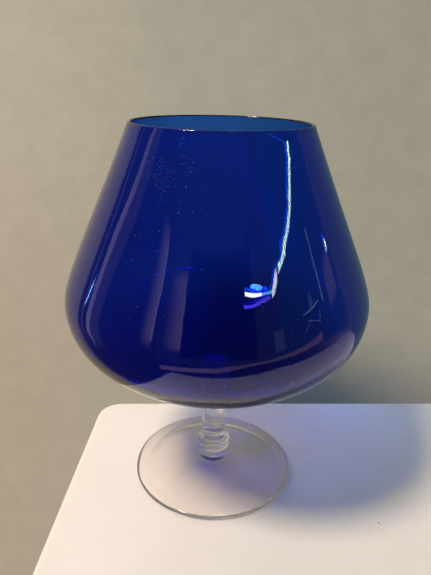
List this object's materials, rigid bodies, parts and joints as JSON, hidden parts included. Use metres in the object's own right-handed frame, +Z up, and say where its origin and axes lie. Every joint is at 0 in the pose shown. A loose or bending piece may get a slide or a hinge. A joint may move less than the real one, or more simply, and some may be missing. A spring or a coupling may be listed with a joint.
{
  "type": "brandy balloon vase",
  "caption": "Large footed brandy balloon in cobalt-blue glass, on a clear stem with a soft knop and a clear round foot.",
  "frame": {"origin": "centre of the plane that the foot stands on", "axes": "+Z up, along the axis of bowl, stem and foot; the piece is round, so +X and +Y are alike"},
  "size_m": [0.1964, 0.1964, 0.25],
  "materials": {
    "cobalt_glass": "fire-polished transparent cobalt blue",
    "clear_glass": "fire-polished clear"
  },
  "bodies": {
    "root": {"bowl": "cobalt_glass", "stem": "clear_glass", "foot": "clear_glass"}
  },
  "joints": []
}
